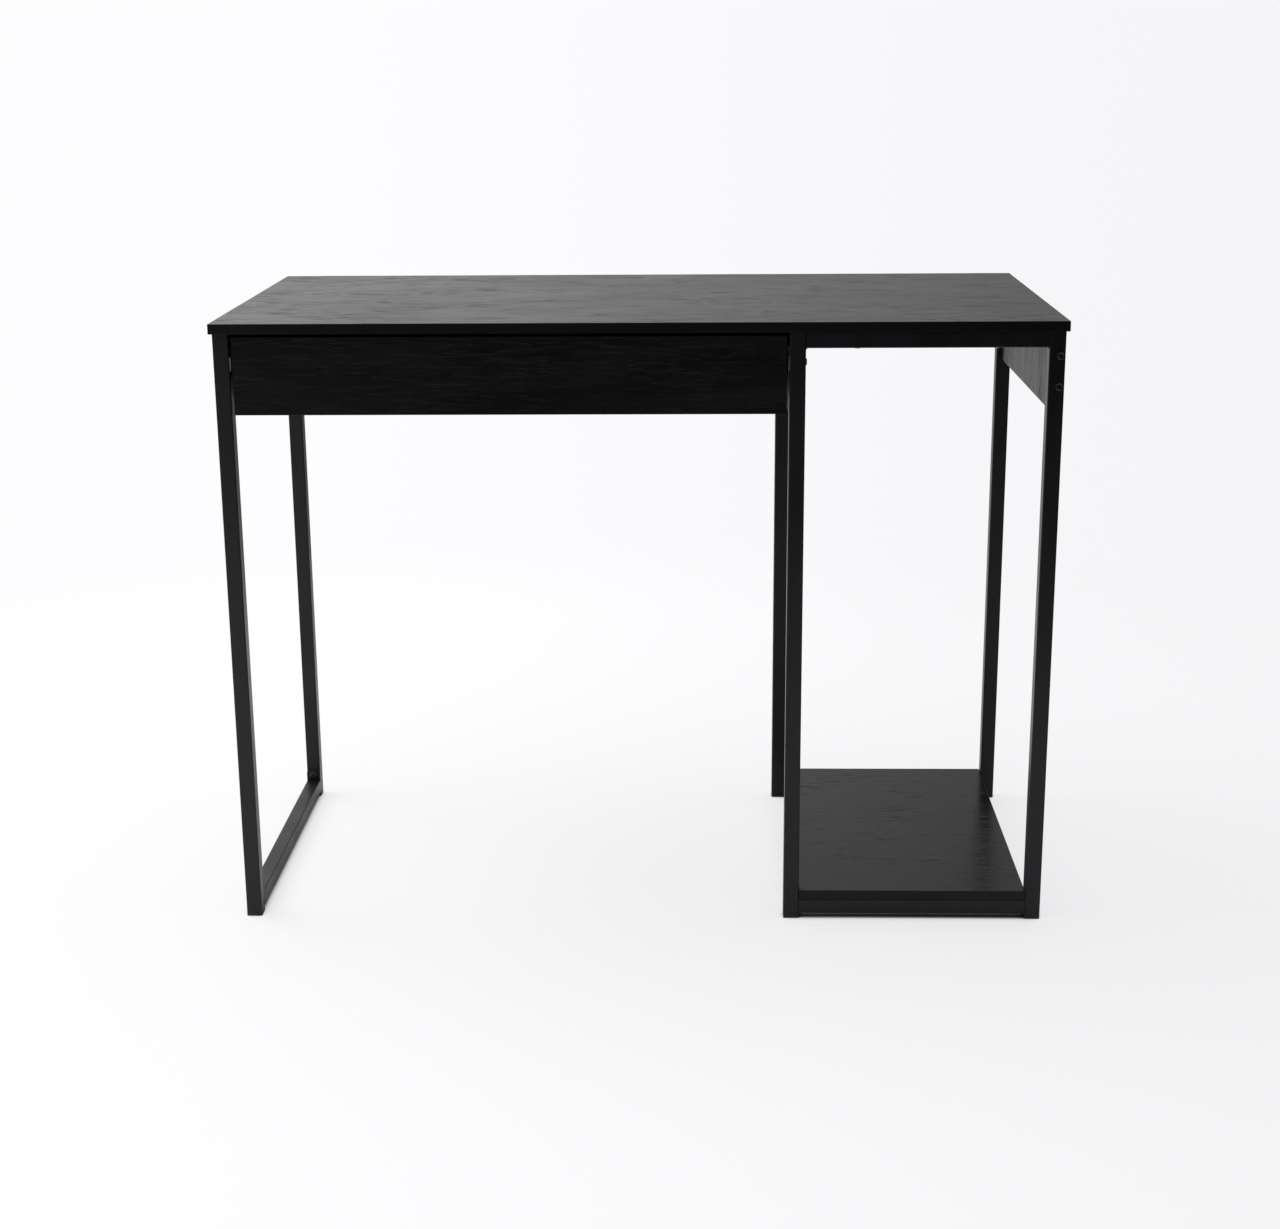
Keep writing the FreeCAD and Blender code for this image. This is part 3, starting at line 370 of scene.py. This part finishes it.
def chrome_steel():
    """Bearing steel: ground and polished, with a thin film of grease."""
    material, tree, shader = start_material("ground_bearing_steel", Metallic=1.0)
    grease = grains(tree, 1.5 * MM)
    colour = two_tone(tree, grease, 0.4, 0.7, "#D2D4D8", "#B6B2A4")
    gloss = ramp(tree, grease, 0.3, 0.7, 0.06, 0.2)
    finish_with(tree, shader, Base_Color=colour, Roughness=gloss)
    return material


def bumper_rubber():
    """Moulded rubber: dull, with a bloom of grey dust."""
    material, tree, shader = start_material("moulded_black_rubber", Specular_IOR_Level=0.35)
    bloom = grains(tree, 2 * MM, 3.0)
    colour = two_tone(tree, bloom, 0.4, 0.75, "#141414", "#242423")
    gloss = ramp(tree, bloom, 0.3, 0.7, 0.7, 0.85)
    normal = relief(tree, bloom, 0.04 * MM)
    finish_with(tree, shader, Base_Color=colour, Roughness=gloss, Normal=normal)
    return material


def beech_dowel():
    """Compressed beech: pale, with brown flecks and rolled flutes along the dowel."""
    material, tree, shader = start_material("compressed_beech", Roughness=0.62)
    fibre = noise(tree, (0.5 * MM, 0.009, 0.5 * MM), 2.0)
    flecks = noise(tree, (0.7 * MM, 2.6 * MM, 0.7 * MM), 1.0)
    colour = two_tone(tree, fibre, 0.3, 0.7, "#C69C6D", "#D9B889")
    colour = blended(tree, ramp(tree, flecks, 0.6, 0.75), colour, linear("#8E6238"))
    finish_with(tree, shader, Base_Color=colour, Normal=relief(tree, fibre, 0.05 * MM))
    return material


def drawer_foil():
    """Paper foil wrapped round the drawer's boards: printed black, duller than melamine."""
    material, tree, shader = start_material("black_paper_foil", Specular_IOR_Level=0.4)
    fibre = noise(tree, (0.05, 0.05, 1.3 * MM), 2.0, 0.6)
    mottle = grains(tree, 2 * MM)
    colour = two_tone(tree, fibre, 0.35, 0.7, "#151516", "#212122")
    gloss = ramp(tree, mottle, 0.3, 0.7, 0.46, 0.56)
    normal = relief(tree, summed(tree, (fibre, 1.0), (mottle, 0.4)), 0.04 * MM)
    finish_with(tree, shader, Base_Color=colour, Roughness=gloss, Normal=normal)
    return material


def painted_hardboard():
    """Hardboard: rolled black paint on top, bare brown fibre with a pressed screen below."""
    material, tree, shader = start_material("painted_hardboard", Specular_IOR_Level=0.35)
    below = ramp(tree, facing(tree, "Z"), -0.4, -0.6)
    fibre = noise(tree, (1.6 * MM, 1.6 * MM, 1.6 * MM), 4.0, 0.65)
    brushed = noise(tree, (0.16, 0.0035, 0.0035), 2.0, 0.6)
    coat = summed(tree, (fibre, 0.5), (brushed, 0.5))
    paint = two_tone(tree, coat, 0.36, 0.64, "#111112", "#232324")
    bare = two_tone(tree, fibre, 0.3, 0.7, "#4A3625", "#77593C")
    screen_mesh = stretched(tree, (1.8 * MM, 1.8 * MM, 1.8 * MM))
    woven = add(tree, "ShaderNodeSeparateXYZ", {"Vector": screen_mesh})
    ridge_x = maths(tree, "SINE", maths(tree, "MULTIPLY", woven.outputs["X"], 2 * pi))
    ridge_y = maths(tree, "SINE", maths(tree, "MULTIPLY", woven.outputs["Y"], 2 * pi))
    screen = maths(tree, "MULTIPLY", maths(tree, "MULTIPLY", ridge_x, ridge_y), below)
    finish_with(
        tree, shader, Base_Color=blended(tree, below, paint, bare),
        Roughness=ramp(tree, below, 0.0, 1.0, 0.48, 0.8),
        Normal=relief(tree, maths(tree, "ADD", coat, screen), 0.08 * MM),
    )
    return material


PANEL_LOOK = {"dark": "#0B0B0C", "light": "#181818", "shine": 0.36}
UPRIGHT_PANEL_LOOK = {**PANEL_LOOK, "grain": "Z", "gleam": 0.11, "pressed": 0.16}

FINISHES = {
    "top_laminate": woodgrain_laminate(
        "ash_melamine_top", grain="X", dark="#0D0D0E", light="#202020",
        shine=0.33, gleam=0.42, pressed=0.26, calm=0.1, swelling=0.6,
    ),
    "shelf_laminate": woodgrain_laminate(
        "ash_melamine_shelf", grain="X", dark="#0B0B0C", light="#191919",
        shine=0.22, gleam=0.22, pressed=0.10, calm=0.0, swelling=0.5,
    ),
    "panel_laminate": woodgrain_laminate("ash_melamine_panel", **UPRIGHT_PANEL_LOOK),
    "drawer_front_laminate": woodgrain_laminate(
        "ash_melamine_drawer", grain="X", dark="#070706", light="#171716",
        shine=0.38, gleam=0.16, pressed=0.26, calm=0.3, swelling=0.4,
    ),
    "edge_band": abs_edge_band(),
    "powder_coated_steel": powder_coat(),
    "black_plastic": moulded_polyethylene(),
    "blackened_bolts": black_zinc(),
    "zinc_plated_steel": zinc_plate(),
    "die_cast_zinc": cast_zinc(),
    "bearing_balls": chrome_steel(),
    "rubber": bumper_rubber(),
    "beech": beech_dowel(),
    "drawer_box_foil": drawer_foil(),
    "hardboard": painted_hardboard(),
}

# Boards whose finish differs from their slot's: the back panel's grain runs along it, and the
# panels beside the drawer are matt and nearly black with painted shade on the drawer's side
OWN_FINISHES = {
    "back_panel": woodgrain_laminate(
        "ash_melamine_back_panel", grain="X", gleam=0.20, pressed=0.30, **PANEL_LOOK,
    ),
    "left_side_panel": woodgrain_laminate(
        "ash_melamine_left_panel", painted_shade_side=1.0, **UPRIGHT_PANEL_LOOK,
    ),
    "mid_side_panel": woodgrain_laminate(
        "ash_melamine_mid_panel", painted_shade_side=-1.0, **UPRIGHT_PANEL_LOOK,
    ),
}


def finish_frame():
    """Gives every node its own finish, or the finish of its slot in the record."""
    for name, node in NODES.items():
        for slot in node.material_slots:
            slot.material = OWN_FINISHES.get(name, FINISHES[slot.material.name.split(".")[0]])


# New pieces

def link(name, data):
    """A new object at the origin with some data."""
    item = bpy.data.objects.new(name, data)
    bpy.context.scene.collection.objects.link(item)
    return item


def tube_from_rings(rings, turned=False):
    """A closed skin over rings of points, ring by ring by 3, with a flat cap at each end.

    Faces look outwards when the rings follow each other along the thumb of a right hand whose
    fingers curl the way that each ring runs, and turned is for the other hand.
    """
    count, around = rings.shape[:2]
    index = np.arange(count * around).reshape(count, around)
    looped = np.concatenate([index, index[:, :1]], axis=1)
    quads = np.stack(
        [looped[:-1, :-1], looped[:-1, 1:], looped[1:, 1:], looped[1:, :-1]], axis=-1,
    ).reshape(-1, 4)
    caps = np.stack([index[0, ::-1], index[-1]])
    if turned:
        quads, caps = quads[:, ::-1], caps[:, ::-1]
    return rings.reshape(-1, 3), quads, caps


def make_piece(name, parts, body, slot):
    """One object from several (vertices, quads, caps) parts, riding on a body."""
    vertices = []
    faces = []
    start = 0
    for points, quads, caps in parts:
        vertices.append(points)
        faces += (quads + start).tolist() + (caps + start).tolist()
        start += len(points)
    mesh = bpy.data.meshes.new(name)
    mesh.from_pydata(np.concatenate(vertices).tolist(), [], faces)
    mesh.polygons.foreach_set("use_smooth", [True] * len(mesh.polygons))
    mesh.update()
    mesh.set_sharp_from_angle(angle=SHARP_FROM)
    mesh.materials.append(FINISHES[slot])
    piece = link(name, mesh)
    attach(piece, body)
    return piece


def weld_bead(corner, run, out_a, out_b):
    """A fillet weld in a corner: sections carried along the corner.

    At a share u of the run, the section is a quarter disc whose radius is the bead's radius
    times 1 - taper (2u - 1)^6, so that its ends are thin, and times 1 + a small sine of the
    run in ripples, so that it shows its freezing lines. The arc is pulled in by a factor of
    0.86 + 0.06 cos 4t at its angle t. The two flat sides lie on the steel.
    """
    u = np.linspace(0.0, 1.0, WELD_STATIONS)
    ripples = u * np.linalg.norm(run) / WELD_RIPPLE
    radius = WELD_RADIUS * (1.0 - WELD_TAPER * (2.0 * u - 1.0) ** 6)
    radius = radius * (1.0 + WELD_RIPPLE_SHARE * np.sin(2 * pi * ripples))
    angle = np.linspace(0.0, pi / 2, WELD_ARC_POINTS)
    bulge = 0.86 + 0.06 * np.cos(4.0 * angle)
    a = radius[:, None] * (np.cos(angle) * bulge)[None, :]
    b = radius[:, None] * (np.sin(angle) * bulge)[None, :]
    spine = corner[None, :] + u[:, None] * run[None, :]
    arc = spine[:, None, :] + a[..., None] * out_a + b[..., None] * out_b
    rings = np.concatenate([arc, spine[:, None, :]], axis=1)
    return tube_from_rings(rings, turned=out_a[0] < 0.0)


def bay_rail_welds():
    """Eight short beads under the bay's rails, where each rail meets its legs."""
    down = np.array([0.0, 0.0, -1.0])
    beads = []
    for rail in (
        "bay_front_top_rail", "bay_rear_top_rail", "bay_front_bottom_rail", "bay_rear_bottom_rail",
    ):
        low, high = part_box(rail)
        run = np.array([0.0, high.y - low.y - 2 * WELD_INSET, 0.0])
        for x, inward in ((low.x, 1.0), (high.x, -1.0)):
            corner = np.array([x, low.y + WELD_INSET, low.z])
            beads.append(weld_bead(corner, run, np.array([inward, 0.0, 0.0]), down))
    make_piece("bay_rail_weld_beads", beads, "desk_frame", "powder_coated_steel")


def cam_lock(centre, inward, radius, thick):
    """A cast cam: a drum with a cross-shaped recess in its face and a rounded rim.

    Rings go out across the face, round the rim by a quarter circle and back along the drum.
    At a point (a, b) of the face the recess is CROSS_DEPTH deep where the smaller of |a| and
    |b| is under the half width and the larger is under the reach, with sloping walls.
    """
    flat = radius - CAM_RIM
    turn = np.linspace(0.0, 2 * pi, CAM_SPOKES, endpoint=False)
    face = np.linspace(0.05, 1.0, CAM_FACE_RINGS) * flat
    bend = np.linspace(0.0, pi / 2, CAM_RIM_RINGS + 1)[1:]
    spread = np.concatenate([face, flat + CAM_RIM * np.sin(bend), [radius]])
    level = np.concatenate([0.0 * face, CAM_RIM * (np.cos(bend) - 1.0), [-thick]])
    a = spread[:, None] * np.cos(turn)[None, :]
    b = spread[:, None] * np.sin(turn)[None, :]
    smaller = np.minimum(np.abs(a), np.abs(b))
    larger = np.maximum(np.abs(a), np.abs(b))
    inside = np.clip((CROSS_HALF_WIDTH - smaller) / CROSS_SLOPE + 0.5, 0.0, 1.0)
    inside = inside * np.clip((CROSS_REACH - larger) / CROSS_SLOPE + 0.5, 0.0, 1.0)
    out = level[:, None] - CROSS_DEPTH * inside
    rings = np.stack([centre[0] + inward * out, centre[1] + a, centre[2] + b], axis=-1)
    return tube_from_rings(rings, turned=inward > 0.0)


def drawer_cams():
    """The two cams that pull the drawer's front onto its sides, seen from inside the drawer."""
    low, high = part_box("drawer_cam_locks")
    radius = (high.z - low.z) / 2
    middle = (low + high) / 2
    left_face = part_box("drawer_left_side")[1].x
    right_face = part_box("drawer_right_side")[0].x
    thick = left_face - low.x
    cams = [
        cam_lock((left_face, middle.y, middle.z), 1.0, radius, thick),
        cam_lock((right_face, middle.y, middle.z), -1.0, radius, thick),
    ]
    piece = make_piece("cast_cam_locks", cams, "drawer", "die_cast_zinc")
    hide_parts("drawer_cam_locks")


# The room, the lights and the view

def matt_paint_and_glow_floor():
    """White matt paint that fades out towards the floor's rim.

    To the view it partly glows, a painted light like a light table's, so that its shadows are
    faint; close to what stands on it the glow drops, a painted contact shadow, and across X it
    fades to the right, a painted falloff of the light.
    """
    material = bpy.data.materials.new("matt_paint_and_glow_floor")
    material.use_nodes = True
    tree = material.node_tree
    tree.nodes.clear()
    place = add(tree, "ShaderNodeTexCoord").outputs["Object"]
    away = add(tree, "ShaderNodeVectorMath", {0: place}, operation="LENGTH").outputs["Value"]
    fade = ramp(tree, away, FLOOR_SOLID_TO, FLOOR_GONE_AT)
    paint = add(tree, "ShaderNodeBsdfDiffuse", {"Color": linear(FLOOR_WHITE)})
    # Painted falloff: the glow weakens towards +X
    across = add(tree, "ShaderNodeSeparateXYZ", {"Vector": place}).outputs["X"]
    even = ramp(tree, across, *FLOOR_ACROSS)
    # Painted contact shadow: the glow drops where little open space lies within reach
    open_share = add(tree, "ShaderNodeAmbientOcclusion", {"Distance": CONTACT_REACH}).outputs["AO"]
    glow_with_painted_contact_shade = maths(tree, "MULTIPLY", even, ramp(tree, open_share, *CONTACT_OPENNESS))
    glow = add(tree, "ShaderNodeEmission", {"Color": linear(SKY_WHITE), "Strength": glow_with_painted_contact_shade})
    seen = add(tree, "ShaderNodeLightPath").outputs["Is Camera Ray"]
    share = maths(tree, "MULTIPLY", seen, FLOOR_GLOW_SHARE)
    lit = add(tree, "ShaderNodeMixShader", {0: share, 1: paint.outputs[0], 2: glow.outputs[0]})
    clear = add(tree, "ShaderNodeBsdfTransparent")
    mix = add(tree, "ShaderNodeMixShader", {0: fade, 1: lit.outputs[0], 2: clear.outputs[0]})
    add(tree, "ShaderNodeOutputMaterial", {"Surface": mix.outputs[0]})
    return material


def lay_floor():
    """A round pale floor: circles of growing radius, just under the feet."""
    radius = np.linspace(0.0, FLOOR_RADIUS, FLOOR_RINGS + 1)[1:]
    angle = np.linspace(0.0, 2 * pi, FLOOR_SPOKES, endpoint=False)
    flat = np.zeros((FLOOR_RINGS, FLOOR_SPOKES, 3))
    flat[..., 0] = radius[:, None] * np.cos(angle)
    flat[..., 1] = radius[:, None] * np.sin(angle)
    flat[..., 2] = -FLOOR_DROP
    points, quads, caps = tube_from_rings(flat, turned=True)
    mesh = bpy.data.meshes.new("studio_floor")
    mesh.from_pydata(points.tolist(), [], quads.tolist() + caps[:1].tolist())
    mesh.materials.append(matt_paint_and_glow_floor())
    floor = link("studio_floor", mesh)


def surround():
    """The room's light: a white room, brighter on the left, behind and overhead.

    What the view sees past the floor is a nearly even white. Everything else sees left times
    back plus high: left falls across X, back rises along Y and high rises with Z.
    """
    world = bpy.data.worlds.new("studio_room")
    bpy.context.scene.world = world
    world.use_nodes = True
    tree = world.node_tree
    tree.nodes.clear()
    way = add(tree, "ShaderNodeSeparateXYZ", {
        "Vector": add(tree, "ShaderNodeTexCoord").outputs["Generated"],
    })
    left = ramp(tree, way.outputs["X"], *LEFT_WALL)
    back = ramp(tree, way.outputs["Y"], *BACK_WALL)
    high = ramp(tree, way.outputs["Z"], *CEILING)
    light = maths(tree, "ADD", maths(tree, "MULTIPLY", left, back), high)
    room = add(tree, "ShaderNodeBackground", {"Color": (1.0, 1.0, 1.0, 1.0), "Strength": light})
    seen = add(tree, "ShaderNodeBackground", {
        "Color": linear(SKY_WHITE), "Strength": ramp(tree, way.outputs["X"], *SKY_ACROSS),
    })
    ray = add(tree, "ShaderNodeLightPath").outputs["Is Camera Ray"]
    mix = add(tree, "ShaderNodeMixShader", {0: ray, 1: room.outputs[0], 2: seen.outputs[0]})
    add(tree, "ShaderNodeOutputWorld", {"Surface": mix.outputs[0]})


def light_room():
    """A large key from the upper left, a weak fill from the upper right, a low lamp in front."""
    for name, (place, target, side, watts) in SOFTBOXES.items():
        data = bpy.data.lights.new(name, "AREA")
        data.shape = "SQUARE"
        data.size = side
        data.energy = watts
        lamp = link(name, data)
        lamp.location = place
        way = Vector(target) - Vector(place)
        lamp.rotation_euler = way.to_track_quat("-Z", "Y").to_euler()


def aim_view():
    """Places the camera: turned left, tipped down, leaned a little."""
    data = bpy.data.cameras.new("view")
    data.lens = LENS_MM
    data.sensor_width = SENSOR_MM
    camera = link("view", data)
    camera.matrix_world = (
        Matrix.Translation(EYE)
        @ Matrix.Rotation(TURN_LEFT, 4, "Z")
        @ Matrix.Rotation(pi / 2 - LOOK_DOWN, 4, "X")
        @ Matrix.Rotation(LEAN, 4, "Z")
    )
    bpy.context.scene.camera = camera


finish_frame()
bay_rail_welds()
drawer_cams()
lay_floor()
surround()
light_room()
aim_view()
bpy.context.scene.view_settings.view_transform = "Standard"
